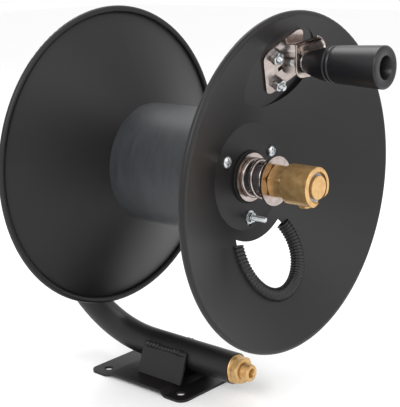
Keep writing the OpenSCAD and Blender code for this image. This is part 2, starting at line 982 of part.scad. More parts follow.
// Ground compression spring between the washers
module drag_spring() {
    coil_r = (spring_d - spring_wire)/2;
    color(nickel)
        on_axis(spring_x)
            intersection() {
                sweep([
                    for (i = [0:spring_turns*spring_steps])
                        let (t = i/spring_steps, c = cos(360*t), s = sin(360*t))
                        [
                            for (j = [0:spring_sides - 1])
                                let (
                                    a = 360*j/spring_sides,
                                    r = coil_r + spring_wire/2*cos(a)
                                )
                                [r*c, r*s, spring_rise(t) + spring_wire/2*sin(a)]
                        ]
                ]);
                rod(spring_l, spring_d);
            }
}

// Brass stem: screwed in the axle, hexagon, then the spindle that the swivel body turns on
module swivel_stem() {
    spindle_l = swivel_end + stem_proud - hex_x - stem_hex_l;
    outlet_l = outlet_x - hex_x;
    color(brass)
        on_axis(hex_x)
            difference() {
                union() {
                    translate([0, 0, -stem_thread_l]) rod(stem_thread_l + 1, stem_thread_r);
                    hexagon(stem_hex_l, stem_hex);
                    translate([0, 0, stem_hex_l - 1]) rod(spindle_l + 1, stem_r);
                }
                translate([0, 0, -stem_thread_l - 1])
                    rod(stem_thread_l + 1 + outlet_l + cross_hole_d, stem_bore_d/2);
                translate([-stem_d, 0, outlet_l])
                    rotate([0, 90, 0]) rod(2*stem_d, cross_hole_d/2);
                for (x = seal_starts)
                    translate([0, 0, x - hex_x]) tube(seal_l, stem_d, stem_r - seal_deep);
                translate([0, 0, swivel_end - pocket_l + face_gap - hex_x])
                    tube(clip_t, stem_d, stem_r - clip_deep);
            }
}

module stem_seals() {
    color(rubber)
        for (x = seal_starts)
            on_axis(x) tube(seal_l, stem_r, stem_r - seal_deep);
}

module swivel_clip() {
    color(steel)
        on_axis(swivel_end - pocket_l + face_gap)
            tube(clip_t, stem_r + clip_wide, stem_r - clip_deep);
}

// Brass housing that turns on the stem, with a flat and a threaded boss for the hose
module swivel_body() {
    edge = 1;
    color(brass)
        in_reel()
            difference() {
                union() {
                    difference() {
                        translate([swivel_x, 0, 0])
                            rotate([0, 90, 0]) {
                                cylinder(h = edge, r1 = swivel_r - edge, r2 = swivel_r, $fn = fine);
                                translate([0, 0, edge]) rod(swivel_l - 2*edge, swivel_r);
                                translate([0, 0, swivel_l - edge])
                                    cylinder(h = edge, r1 = swivel_r, r2 = swivel_r - edge, $fn = fine);
                            }
                        rotate([outlet_angle, 0, 0])
                            translate([0, -swivel_d, -far - outlet_flat])
                                cube([far, 2*swivel_d, far]);
                    }
                    rotate([outlet_angle, 0, 0])
                        translate([outlet_x, 0, -outlet_boss_end])
                            rod(outlet_boss_end - stem_r, outlet_boss_d/2);
                }
                rotate([0, 90, 0]) rod(far, stem_r + run_gap);
                translate([outlet_x - gallery_l/2, 0, 0])
                    rotate([0, 90, 0]) rod(gallery_l, gallery_r);
                translate([swivel_end - pocket_l, 0, 0])
                    rotate([0, 90, 0]) rod(far, pocket_r);
                rotate([outlet_angle, 0, 0])
                    translate([outlet_x, 0, -far]) rod(far - stem_r, outlet_d/2);
            }
}

stand_tube();
base_plate();
saddle_skirt_left();
saddle_skirt_right();
inlet_fitting();
inlet_braze();
axle();
rear_thrust_washer();
drum_shell();
rear_disc();
front_disc();
rear_hub_plate();
front_hub_plate();
rear_bush();
front_bush();
rear_hub_screws();
rear_hub_nuts();
front_hub_screws();
front_hub_nuts();
hub_stud();
hub_stud_washer();
hub_stud_nut();
opening_trim();
brake_lining();
inner_washer();
drag_spring();
outer_washer();
swivel_stem();
stem_seals();
swivel_body();
swivel_clip();
crank_bracket();
bracket_bolts();
bracket_nuts();
crank_rear_lug();
crank_yoke();
crank_bolt();
crank_nut();
yoke_washer();
grip();
grip_washer();
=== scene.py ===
# Hand hose reel on a bent tube stand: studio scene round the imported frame
import json
import math
import bpy
import numpy as np
from mathutils import Matrix, Vector


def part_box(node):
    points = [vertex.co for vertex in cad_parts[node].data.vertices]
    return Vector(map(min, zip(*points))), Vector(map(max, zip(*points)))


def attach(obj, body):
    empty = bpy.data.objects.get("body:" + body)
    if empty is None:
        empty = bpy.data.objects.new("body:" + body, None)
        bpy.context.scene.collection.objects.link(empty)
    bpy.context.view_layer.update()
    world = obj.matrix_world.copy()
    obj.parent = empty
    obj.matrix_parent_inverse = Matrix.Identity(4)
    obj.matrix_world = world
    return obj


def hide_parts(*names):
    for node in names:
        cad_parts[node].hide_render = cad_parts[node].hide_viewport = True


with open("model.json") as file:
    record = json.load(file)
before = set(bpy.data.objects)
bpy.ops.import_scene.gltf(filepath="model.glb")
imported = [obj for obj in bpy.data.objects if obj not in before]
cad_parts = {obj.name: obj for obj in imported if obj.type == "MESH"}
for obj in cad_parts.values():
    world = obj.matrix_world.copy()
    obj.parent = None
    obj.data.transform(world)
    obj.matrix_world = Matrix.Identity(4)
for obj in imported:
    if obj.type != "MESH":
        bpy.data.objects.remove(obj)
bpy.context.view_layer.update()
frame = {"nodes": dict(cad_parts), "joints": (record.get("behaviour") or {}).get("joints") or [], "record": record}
print("frame loaded:", len(frame["nodes"]), "nodes")

mm = 0.001
nodes = frame["nodes"]
joints = {j["name"]: j for j in frame["joints"]}
reelMiddle = np.array(joints["reel_spin"]["pos_m"])     # on the axle, halfway between the discs
gripAxis = np.array(joints["grip_spin"]["pos_m"])       # on the crank bolt's axis


# ---- tools for materials

def paint(hexColour):
    # sRGB hex to linear colour
    parts = [int(hexColour[i:i + 2], 16) / 255 for i in (1, 3, 5)]
    return tuple(c / 12.92 if c <= 0.04045 else ((c + 0.055) / 1.055) ** 2.4 for c in parts) + (1.0,)


def addNode(tree, kind, settings=None, links=None):
    # settings go to the node's own options or its sockets, links to its sockets
    node = tree.nodes.new(kind)
    for key, value in (settings or {}).items():
        if hasattr(node, key):
            setattr(node, key, value)
        else:
            node.inputs[key].default_value = value
    for key, source in (links or {}).items():
        tree.links.new(source, node.inputs[key])
    return node


def newMaterial(name):
    material = bpy.data.materials.new(name)
    material.use_nodes = True
    tree = material.node_tree
    tree.nodes.clear()
    surface = addNode(tree, "ShaderNodeBsdfPrincipled")
    addNode(tree, "ShaderNodeOutputMaterial", links={"Surface": surface.outputs["BSDF"]})
    where = addNode(tree, "ShaderNodeTexCoord").outputs["Object"]
    return material, tree, surface, where


def twoTone(tree, factor, darkHex, lightHex, low=0.3, high=0.7):
    # colour ramp between two sRGB colours
    ramp = addNode(tree, "ShaderNodeValToRGB", links={"Fac": factor})
    ramp.color_ramp.elements[0].position = low
    ramp.color_ramp.elements[0].color = paint(darkHex)
    ramp.color_ramp.elements[1].position = high
    ramp.color_ramp.elements[1].color = paint(lightHex)
    return ramp.outputs["Color"]


def spread(tree, factor, low, high):
    # factor 0..1 mapped to low..high
    return addNode(tree, "ShaderNodeMapRange", {"To Min": low, "To Max": high},
                   {"Value": factor}).outputs["Result"]


def bump(tree, surface, height, depthMm):
    relief = addNode(tree, "ShaderNodeBump", {"Strength": 1.0, "Distance": depthMm * mm},
                     {"Height": height})
    tree.links.new(relief.outputs["Normal"], surface.inputs["Normal"])


# ---- materials

powderCoat = {"dark": "#0c0a0b", "light": "#131011", "peelMm": 2.2, "rough": (0.42, 0.5)}
drumCoat = {"dark": "#1c1e21", "light": "#272a2e", "scuffMm": 16, "rough": (0.4, 0.52)}
nickelPlate = {"dark": "#9d918c", "light": "#b9ada8", "grainMm": 6, "rough": (0.16, 0.28)}
zincPlate = {"dark": "#a9adb0", "light": "#cfd3d4", "grainMm": 4, "rough": (0.22, 0.36)}
turnedBrass = {"dark": "#c39a63", "light": "#d6b27c", "ringMm": 0.5, "rough": (0.36, 0.46)}
mouldedGrip = {"dark": "#0d0d0f", "light": "#141417", "sparkMm": 0.7, "rough": (0.3, 0.42)}
loomNylon = {"dark": "#060607", "light": "#0d0d0f", "sparkMm": 1.5, "rough": (0.3, 0.45)}
turnedSteel = {"dark": "#7d7d80", "light": "#a0a0a3", "ringMm": 0.6, "rough": (0.28, 0.42)}
# Brake lining: a real fibre friction ring, black; its black ring round the inner washer is also painted shade,
# standing where the dark is shadow behind the washer
frictionLiningAndShade = {"dark": "#0d0d0e", "light": "#1a1a1b", "fibreMm": 0.8, "rough": (0.7, 0.85)}
sealRubber = {"dark": "#0c0c0c", "light": "#141414", "bloomMm": 3, "rough": (0.55, 0.7)}
bearingNylon = {"dark": "#cfcabb", "light": "#dedacd", "bloomMm": 5, "rough": (0.4, 0.5)}


def perMm(size):
    # texture scale, in turns a metre, for a pattern of that many millimetres
    return 1 / (size * mm)


def noise(tree, where, sizeMm, detail=2.0, rough=0.5):
    return addNode(tree, "ShaderNodeTexNoise",
                   {"Scale": perMm(sizeMm), "Detail": detail, "Roughness": rough},
                   {"Vector": where}).outputs["Fac"]


def turned(tree, where, middle, ringMm):
    # Tool rings round an axis along X: they follow the distance from the axis and the length. The
    # texture turns 20 radians in one unit, so the rings lie 2 pi times ringMm apart, 3 to 4 mm: real
    # ones are finer, and these are drawn coarse so that they can show.
    scale = perMm(ringMm) / 20
    centred = addNode(tree, "ShaderNodeMapping", {"Location": tuple(-middle)}, {"Vector": where})
    rings = addNode(tree, "ShaderNodeTexWave",
                    {"wave_type": "RINGS", "rings_direction": "X", "Scale": scale,
                     "Distortion": 0.6, "Detail": 1.0},
                    {"Vector": centred.outputs["Vector"]}).outputs["Fac"]
    along = addNode(tree, "ShaderNodeTexWave",
                    {"wave_type": "BANDS", "bands_direction": "X", "Scale": scale,
                     "Distortion": 0.4, "Detail": 1.0},
                    {"Vector": where}).outputs["Fac"]
    return addNode(tree, "ShaderNodeMath", {"operation": "ADD"},
                   {0: rings, 1: along}).outputs["Value"]


# Polyester powder coat, sprayed and baked on steel: satin black with a faint orange peel
def makePowderCoat():
    look = powderCoat
    material, tree, surface, where = newMaterial("powderCoatSprayed")
    cloud = noise(tree, where, 60, 3.0)
    tree.links.new(twoTone(tree, cloud, look["dark"], look["light"]), surface.inputs["Base Color"])
    tree.links.new(spread(tree, cloud, *look["rough"]), surface.inputs["Roughness"])
    surface.inputs["Specular IOR Level"].default_value = 0.36
    bump(tree, surface, noise(tree, where, look["peelMm"], 1.0), 0.02)
    return material


# Blue-black stove enamel on a rolled steel drum: duller, with long scuffs round the drum
def makeDrumCoat():
    look = drumCoat
    material, tree, surface, where = newMaterial("drumEnamelScuffed")
    stretched = addNode(tree, "ShaderNodeMapping", {"Scale": (2.6, 0.5, 0.5)}, {"Vector": where})
    scuff = noise(tree, stretched.outputs["Vector"], look["scuffMm"], 6.0, 0.62)
    tree.links.new(twoTone(tree, scuff, look["dark"], look["light"], 0.38, 0.72),
                   surface.inputs["Base Color"])
    tree.links.new(spread(tree, scuff, *look["rough"]), surface.inputs["Roughness"])
    bump(tree, surface, scuff, 0.05)
    return material


# Bright plating over pressed or drawn steel: clear reflections, a slight cloud in the gloss
def makePlated(name, look):
    material, tree, surface, where = newMaterial(name)
    cloud = noise(tree, where, look["grainMm"], 3.0)
    tree.links.new(twoTone(tree, cloud, look["dark"], look["light"]), surface.inputs["Base Color"])
    tree.links.new(spread(tree, cloud, *look["rough"]), surface.inputs["Roughness"])
    surface.inputs["Metallic"].default_value = 1.0
    bump(tree, surface, noise(tree, where, 0.6, 1.0), 0.006)
    return material


# Bar turned on a lathe: a satin gloss with faint rings from the tool
def makeTurned(name, look):
    material, tree, surface, where = newMaterial(name)
    cloud = noise(tree, where, 5, 3.0)
    tree.links.new(twoTone(tree, cloud, look["dark"], look["light"]), surface.inputs["Base Color"])
    tree.links.new(spread(tree, cloud, *look["rough"]), surface.inputs["Roughness"])
    surface.inputs["Metallic"].default_value = 0.82
    bump(tree, surface, turned(tree, where, reelMiddle, look["ringMm"]), 0.006)
    return material


# Plastic, fibre or rubber from a mould: dark, with the fine grain of the mould's spark finish
def makeMoulded(name, look, grainKey, depthMm, ior=1.5):
    material, tree, surface, where = newMaterial(name)
    grain = noise(tree, where, look[grainKey], 2.0)
    cloud = noise(tree, where, 25, 2.0)
    tree.links.new(twoTone(tree, cloud, look["dark"], look["light"]), surface.inputs["Base Color"])
    tree.links.new(spread(tree, grain, *look["rough"]), surface.inputs["Roughness"])
    surface.inputs["IOR"].default_value = ior
    surface.inputs["Specular IOR Level"].default_value = 0.4
    bump(tree, surface, grain, depthMm)
    return material


finishes = {
    "powder_steel": makePowderCoat(),
    "drum_steel": makeDrumCoat(),
    "nickel_plate": makePlated("nickelPlatedSteel", nickelPlate),
    "zinc_plate": makePlated("zincPlatedSteel", zincPlate),
    "brass": makeTurned("brassTurned", turnedBrass),
    "plain_steel": makeTurned("steelTurned", turnedSteel),
    "loom_plastic": makeMoulded("nylonLoomExtruded", loomNylon, "sparkMm", 0.02, 1.53),
    "grip_plastic": makeMoulded("polypropyleneMoulded", mouldedGrip, "sparkMm", 0.02, 1.49),
    # the lining's black is partly its own colour and partly painted shade behind the inner washer
    "lining": makeMoulded("frictionLiningAndShadeDark", frictionLiningAndShade, "fibreMm", 0.08),
    "seal_rubber": makeMoulded("nitrileRubberMoulded", sealRubber, "bloomMm", 0.01, 1.52),
    "bearing_nylon": makeMoulded("nylonNaturalMoulded", bearingNylon, "bloomMm", 0.01, 1.53),
}

slotOf = {row["node"]: row["material_slot"] for row in frame["record"]["subparts"]}
for name, node in nodes.items():
    node.data.materials.clear()
    node.data.materials.append(finishes[slotOf[name]])
print("finishes made:", len(finishes))


# ---- tools for shapes

def makePiece(name, points, faces, body, slotName, replaced=(), sharpDegrees=40):
    # points in metres in the row's frame; faces as lists of point numbers
    mesh = bpy.data.meshes.new(name)
    mesh.from_pydata(points.tolist(), [], faces)
    mesh.update()
    mesh.shade_smooth()
    mesh.set_sharp_from_angle(angle=math.radians(sharpDegrees))
    piece = bpy.data.objects.new(name, mesh)
    bpy.context.scene.collection.objects.link(piece)
    mesh.materials.append(finishes[slotName])
    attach(piece, body)
    if replaced:
        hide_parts(*replaced)
    return piece


def gridFaces(rows, columns, wrapRows=False, flip=False):
    # quads of a rows x columns grid of points: each row closes round, and so do the rows if they wrap
    i, j = np.meshgrid(np.arange(rows if wrapRows else rows - 1), np.arange(columns), indexing="ij")
    nextI = (i + 1) % rows
    nextJ = (j + 1) % columns
    quads = np.stack([i * columns + j, i * columns + nextJ, nextI * columns + nextJ,
                      nextI * columns + j], axis=-1).reshape(-1, 4)
    return (quads[:, ::-1] if flip else quads).tolist()


def joinParts(parts):
    # several (points, faces) in one, each with its faces moved on past the points before it
    points, faces, count = [], [], 0
    for somePoints, someFaces in parts:
        points.append(somePoints)
        faces += [[k + count for k in face] for face in someFaces]
        count += len(somePoints)
    return np.concatenate(points), faces


def turnedBar(rows, steps=96, acrossFlats=None, thread=None):
    # A bar along +Z from rows of (length, radius, kind) in millimetres. Kind h is milled to a hexagon:
    # the radius is the least of the row's and the flats'. Kind t has a thread: the radius drops by a
    # triangle wave of the length over the pitch less the turn. Ends close on the axis.
    length = np.array([row[0] for row in rows], float)[:, None]
    radius = np.array([row[1] for row in rows], float)[:, None]
    kind = np.array([row[2] for row in rows])[:, None]
    turn = np.arange(steps)[None, :] / steps
    radius = np.repeat(radius, steps, axis=1)
    if acrossFlats:
        offFlat = (turn * 360 + 30) % 60 - 30
        flats = acrossFlats / 2 / np.cos(np.radians(offFlat))
        radius = np.where(kind == "h", np.minimum(radius, flats), radius)
    if thread:
        pitch, depth = thread
        phase = (length / pitch - turn) % 1
        radius = np.where(kind == "t", radius - depth * np.abs(2 * phase - 1), radius)
    angle = 2 * np.pi * turn
    points = np.stack([radius * np.cos(angle), radius * np.sin(angle),
                       np.repeat(length, steps, axis=1)], axis=-1).reshape(-1, 3)
    faces = gridFaces(len(rows), steps)
    first = list(range(steps - 1, -1, -1))
    last = [(len(rows) - 1) * steps + k for k in range(steps)]
    return points, faces + [first, last]


def turnedRing(rows, steps=96, acrossFlats=None, thread=None):
    # As turnedBar, but the rows run round a closed section, so that the piece has a bore
    points, _ = turnedBar(rows, steps, acrossFlats, thread)
    return points, gridFaces(len(rows), steps, wrapRows=True)


def threadRows(start, end, radius, pitch):
    # rows of kind t, eight to a pitch
    count = max(2, int(round((end - start) / pitch * 8)))
    return [(start + (end - start) * k / count, radius, "t") for k in range(count + 1)]


def place(points, origin, zAxis, xAxis):
    # points in millimetres in a local frame, to metres in the row's frame
    z = np.array(zAxis, float) / np.linalg.norm(zAxis)
    x = np.array(xAxis, float) - z * np.dot(xAxis, z)
    x /= np.linalg.norm(x)
    return np.array(origin) + (points * mm) @ np.stack([x, np.cross(z, x), z])


def alongCurve(path, section, normals):
    # A closed section of (across, up) carried along a path: each ring is the path's point plus
    # across times the side direction plus up times the normal, where side = normal x tangent.
    tangent = np.gradient(path, axis=0)
    tangent /= np.linalg.norm(tangent, axis=1)[:, None]
    up = normals - tangent * np.sum(normals * tangent, axis=1)[:, None]
    up /= np.linalg.norm(up, axis=1)[:, None]
    side = np.cross(up, tangent)
    return (path[:, None, :] + section[..., 0:1] * side[:, None, :]
            + section[..., 1:2] * up[:, None, :])


def closedSweep(rings):
    # rings x points, with a flat cap at each end
    count, around = rings.shape[:2]
    faces = gridFaces(count, around)
    faces += [list(range(around - 1, -1, -1)), [(count - 1) * around + k for k in range(around)]]
    return rings.reshape(-1, 3), faces


# ---- the reel's section, shared by what lies on the discs

reel = {"discD": 305, "reelW": 228, "drumL": 126, "drumD": 117, "sheet": 1.5, "bead": 6.5,
        "hubFlatD": 100, "screwCircle": 76}
beadR = reel["bead"] / 2
beadMiddle = np.array([reel["discD"] / 2 - beadR, reel["reelW"] / 2 - beadR])
rootLine = beadMiddle - np.array([reel["drumD"] / 2, reel["drumL"] / 2])
dish = (math.atan2(rootLine[1], rootLine[0])
        + math.asin((beadR - reel["sheet"]) / np.linalg.norm(rootLine)))
flatOut = (reel["drumL"] / 2 - (reel["drumD"] / 2 - reel["hubFlatD"] / 2) * math.tan(dish)
           + reel["sheet"])


def coneInner(radius):
    return reel["drumL"] / 2 + (radius - reel["drumD"] / 2) * math.tan(dish)


def coneOuter(radius):
    return coneInner(radius) + reel["sheet"] / math.cos(dish)


def onReel(points):
    # millimetres from the reel's middle, to metres in the row's frame
    return reelMiddle + points * mm


def onReelAxis(points, x=0.0, y=0.0, z=0.0, turn=0.0):
    # a bar along +Z laid along +X from (x, y, z) of the reel
    return place(points, onReel(np.array([x, y, z])), (1, 0, 0),
                 (0, math.cos(turn), math.sin(turn)))


# ---- split loom on the edge of the hose opening

loom = {"openingD": 76, "openingR": 70, "turnDegrees": 6, "outerD": 13.4, "wall": 1.2, "slot": 1.7,
        "ribPitch": 2.9, "ribDepth": 0.75, "ribSquare": 2.2, "endGap": 0.5}


def makeLoom():
    # Centre line: the opening's circle, lifted to the middle of the cone's sheet at each point's radius.
    # Wall: a C section open toward the sheet, its radius a flattened cosine of the way along the loom.
    look = loom
    circleR = look["openingD"] / 2
    endR = reel["drumD"] / 2 + look["outerD"] / 2 + look["endGap"]
    reach = math.acos((endR ** 2 - circleR ** 2 - look["openingR"] ** 2)
                      / (2 * circleR * look["openingR"]))
    ribs = round(2 * reach * circleR / look["ribPitch"])
    a = np.linspace(-reach, reach, ribs * 8 + 1)
    turn = math.radians(look["turnDegrees"])
    flatY = circleR * np.sin(a)
    flatZ = -look["openingR"] - circleR * np.cos(a)
    y = flatY * math.cos(turn) - flatZ * math.sin(turn)
    z = flatY * math.sin(turn) + flatZ * math.cos(turn)
    r = np.hypot(y, z)
    path = np.stack([coneInner(r) + reel["sheet"] / 2 / math.cos(dish), y, z], axis=1)
    normals = np.stack([np.full_like(r, math.cos(dish)), -math.sin(dish) * y / r,
                        -math.sin(dish) * z / r], axis=1)
    wave = np.cos(2 * np.pi * ribs * (a + reach) / (2 * reach))
    square = np.tanh(look["ribSquare"] * wave) / math.tanh(look["ribSquare"])
    drop = look["ribDepth"] * (0.5 - 0.5 * square)
    outer = look["outerD"] / 2 - drop
    inner = outer - look["wall"]
    halfSlot = look["slot"] / 2
    openOuter = math.pi - math.asin(halfSlot / (look["outerD"] / 2))
    openInner = math.pi - math.asin(halfSlot / (look["outerD"] / 2 - look["wall"]))
    out = np.linspace(-openOuter, openOuter, 25)
    back = np.linspace(openInner, -openInner, 13)
    across = np.concatenate([outer[:, None] * np.cos(out), inner[:, None] * np.cos(back)], axis=1)
    up = np.concatenate([outer[:, None] * np.sin(out), inner[:, None] * np.sin(back)], axis=1)
    rings = alongCurve(path, np.stack([across, up], axis=-1), normals)
    points, faces = closedSweep(rings)
    makePiece("loomRibbed", onReel(points), faces, "reel", "loom_plastic", ["opening_trim"], 60)


makeLoom()
print("split loom made")


# ---- screws, nuts and bolts

hubScrew = {"d": 5.4, "headD": 10.8, "headH": 3.5, "tip": 3, "nutH": 4, "bladeW": 1.7,
            "crossL": 6.4, "crossDeep": 2.0, "pitch": 0.9, "plate": 2.5}
hubStud = {"washer": 1.2, "nutH": 3.6, "out": 14, "headH": 4, "slotAngle": 270, "flatsPerD": 1.6}
rowBolt = {"d": 6.35, "nutAf": 11.1, "nutH": 5.5, "out": 4, "headH": 4, "pitch": 1.27,
           "spins": (0.35, 1.1)}
crankBolt = {"d": 8, "headAf": 13, "headH": 5.3, "nutAf": 13, "nutH": 6.5, "pitch": 1.25,
             "threadL": 22, "pastLug": 1.5}


def smooth(edge, soft, value):
    # 1 below the edge, 0 above it, blended over the soft width
    t = np.clip((edge + soft / 2 - value) / soft, 0, 1)
    return t * t * (3 - 2 * t)


def panHeadScrew(length):
    # Head: a flattened dome over a polar grid, dropped where a point lies in the cross recess.
    # The grid runs on down the head's side and the shank.
    look = hubScrew
    headR, shankR, steps = look["headD"] / 2, look["d"] / 2, 96
    rho = np.concatenate([[0.03], np.linspace(0.15, headR * 0.97, 44), [headR]])[:, None]
    angle = (np.arange(steps) / steps * 2 * np.pi)[None, :]
    x, y = rho * np.cos(angle), rho * np.sin(angle)
    dome = look["headH"] * (1 - 0.5 * (rho / headR) ** 3.2)
    half, arm = look["bladeW"] / 2, look["crossL"] / 2
    cross = np.maximum(smooth(half, 0.35, np.abs(y)) * smooth(arm, 0.5, np.abs(x)),
                       smooth(half, 0.35, np.abs(x)) * smooth(arm, 0.5, np.abs(y)))
    height = dome - cross * look["crossDeep"] * (1 - 0.4 * rho / arm)
    under = [(headR, 0.0), (shankR, 0.0), (shankR, -length)]
    lowX = np.array([r * np.cos(angle[0]) for r, _ in under])
    lowY = np.array([r * np.sin(angle[0]) for r, _ in under])
    lowZ = np.array([np.full(steps, h) for _, h in under])
    grid = np.stack([np.vstack([x, lowX]), np.vstack([y, lowY]), np.vstack([height, lowZ])], axis=-1)
    rows = grid.shape[0]
    faces = gridFaces(rows, steps, flip=True)
    faces += [list(range(steps)), [(rows - 1) * steps + k for k in range(steps - 1, -1, -1)]]
    return grid.reshape(-1, 3), faces


def chamferRows(start, end, flats):
    # rows of a hexagon whose corners are turned off at both ends at 30 degrees
    corner = flats / 2 / math.cos(math.radians(30))
    low = flats / 2 * 0.96
    rise = (corner - low) * math.tan(math.radians(30))
    down = [(start + rise * k / 4, low + (corner - low) * k / 4, "h") for k in range(5)]
    return down + [(start + end - r[0], r[1], "h") for r in reversed(down)]


def hexNut(flats, height, bore):
    # a chamfered hexagon with its bore countersunk at both ends
    sink = 0.4
    rows = [(0, bore + sink, "p")] + chamferRows(0, height, flats)
    rows += [(height, bore + sink, "p"), (height - sink, bore, "p"), (sink, bore, "p")]
    return turnedRing(rows, acrossFlats=flats)


def hexBolt(d, flats, headH, plainTo, end, pitch):
    # head below zero, then a plain shank, then a thread with a blunt end
    depth = pitch * 0.5
    rows = chamferRows(-headH, 0, flats) + [(0, d / 2, "p"), (plainTo, d / 2, "p")]
    rows += threadRows(plainTo, end - 0.8, d / 2, pitch) + [(end, d / 2 - 0.8, "p")]
    return turnedBar(rows, 72, flats, (pitch, depth))


def hubSpot(points, degrees, x, side=1):
    # at the hub's screw circle, with the bar pointing out of the disc on that side
    a = math.radians(degrees)
    spin = a + degrees      # in radians: the number of degrees only scatters how the heads are turned
    spot = onReel(np.array([side * x, reel["screwCircle"] / 2 * math.cos(a),
                            reel["screwCircle"] / 2 * math.sin(a)]))
    return place(points, spot, (side, 0, 0), (0, math.cos(spin), math.sin(spin)))


def makeHubScrews():
    look = hubScrew
    plateIn = flatOut - reel["sheet"] - look["plate"]
    shank = flatOut - plateIn + look["nutH"] + look["tip"]
    points, faces = panHeadScrew(shank)
    for side, end, angles in ((1, "front", (30, 150)), (-1, "rear", (30, 150, 270))):
        screws = joinParts([(hubSpot(points, a, flatOut, side), faces) for a in angles])
        makePiece(end + "HubScrews", *screws, "reel", "zinc_plate", [end + "_hub_screws"], 50)
    stud = hubStud
    flats = stud["flatsPerD"] * look["d"]
    studL = flatOut - plateIn + stud["washer"] + stud["nutH"] + stud["out"]
    points, faces = hexBolt(look["d"], flats, stud["headH"], flatOut - plateIn, studL, look["pitch"])
    makePiece("hubStudThreaded", hubSpot(points, stud["slotAngle"], plateIn), faces, "reel",
              "zinc_plate", ["hub_stud"], 50)
    points, faces = hexNut(flats, stud["nutH"], look["d"] / 2)
    makePiece("hubStudNut", hubSpot(points, stud["slotAngle"], flatOut + stud["washer"]), faces,
              "reel", "zinc_plate", ["hub_stud_nut"], 50)


makeHubScrews()
print("hub screws made")


# ---- crank: pad, bracket bolts, yoke and grip

pad = {"turnDegrees": 3, "rowTurnDegrees": 51.2, "rowMiddle": (-3.6, -1.5), "rowPitch": 37.4,
       "sheet": 2.0, "belowGrip": 4.5}
gripZ = (gripAxis[2] - reelMiddle[2]) / mm
gripY = gripAxis[1] / mm
padMiddle = gripZ - pad["belowGrip"]


def padFrame():
    # axes of the pad: along the rim, up the slope, out of the disc; and its middle
    t = math.radians(pad["turnDegrees"])
    tilt = Matrix.Rotation(-t, 3, "X")
    rim = np.array(tilt @ Vector((0, 1, 0)))
    slope = np.array(tilt @ Vector((math.sin(dish), 0, math.cos(dish))))
    out = np.array(tilt @ Vector((math.cos(dish), 0, -math.sin(dish))))
    middle = np.array(tilt @ Vector((coneOuter(padMiddle), 0, padMiddle)))
    return rim, slope, out, middle


def makeBracketBolts():
    look = rowBolt
    rim, slope, out, middle = padFrame()
    a = math.radians(pad["rowTurnDegrees"])
    along = rim * math.cos(a) - slope * math.sin(a)
    rowMiddle = middle + rim * pad["rowMiddle"][0] + slope * pad["rowMiddle"][1]
    bolt = hexBolt(look["d"], look["nutAf"], look["headH"], reel["sheet"] + pad["sheet"],
                   reel["sheet"] + pad["sheet"] + look["nutH"] + look["out"], look["pitch"])
    nut = hexNut(look["nutAf"], look["nutH"], look["d"] / 2)
    bolts, nuts = [], []
    for side, turn in zip((-1, 1), look["spins"]):
        spot = rowMiddle + along * side * pad["rowPitch"] / 2
        spin = along * math.cos(turn) + np.cross(out, along) * math.sin(turn)
        bolts.append((place(bolt[0], onReel(spot - out * reel["sheet"]), out, spin), bolt[1]))
        nuts.append((place(nut[0], onReel(spot + out * pad["sheet"]), out, spin), nut[1]))
    makePiece("bracketBolts", *joinParts(bolts), "reel", "zinc_plate", ["bracket_bolts"], 50)
    makePiece("bracketNuts", *joinParts(nuts), "reel", "zinc_plate", ["bracket_nuts"], 50)


makeBracketBolts()

yoke = {"sheet": 2.0, "gap": 12.4, "w": 27.6, "top": 18, "legDrop": 13, "cornerR": 8, "lugOut": 3.0,
        "bendR": 2.6, "tabL": 23, "tabLiftDegrees": 17, "tabR": 8, "tabRollDegrees": (8, 105),
        "tabFlare": 0.8}
lugX = coneOuter(gripZ) + yoke["sheet"] / math.cos(dish) + yoke["lugOut"]
legX = lugX + yoke["sheet"] + yoke["gap"]


def strip(path, normals, halfWidth, sheet):
    # A sheet strip: a flat section with rounded edges, its half width given at each point of the path
    turn = np.linspace(-np.pi / 2, np.pi / 2, 7)
    edge = sheet / 2
    roundIn = (np.cos(turn) - 1) * edge
    sideOf = np.concatenate([np.ones(7), -np.ones(7)])
    width = halfWidth[:, None] * sideOf + np.concatenate([roundIn, -roundIn])
    up = np.concatenate([np.sin(turn), np.sin(turn[::-1])]) * edge
    section = np.stack([width, np.repeat(up[None, :], len(path), axis=0)], axis=-1)
    return closedSweep(alongCurve(path, section, normals))


def makeStrap():
    # One sheet: level from the bracket, round a bend, then down as the leg, whose lower corners are round
    look = yoke
    edge, bendR = look["sheet"] / 2, look["bendR"]
    topZ = gripZ + look["top"] - edge
    startX = coneOuter(topZ) + look["sheet"] / math.cos(dish) - 0.5
    turn = np.linspace(0, np.pi / 2, 12)
    endX, legZ = legX + edge, gripZ - look["legDrop"]
    corner = look["cornerR"] * (1 - np.sin(np.linspace(0, 1.5, 20)))
    x = np.concatenate([np.linspace(startX, endX - bendR, 6)[:-1], endX - bendR + bendR * np.sin(turn),
                        np.full(26, endX)])
    z = np.concatenate([np.full(5, topZ), topZ - bendR + bendR * np.cos(turn),
                        np.linspace(topZ - bendR - 1, legZ + look["cornerR"] + 1, 6), legZ + corner])
    path = np.stack([x, np.full_like(x, gripY), z], axis=1)
    tangent = np.gradient(path, axis=0)
    normals = np.cross(tangent, [0.0, 1.0, 0.0]) * [1, 0, 1]
    deep = np.clip(legZ + look["cornerR"] - z, 0, look["cornerR"] * 0.995)
    width = look["w"] / 2 - look["cornerR"] + np.sqrt(look["cornerR"] ** 2 - deep ** 2)
    return strip(path, normals, width, look["sheet"])


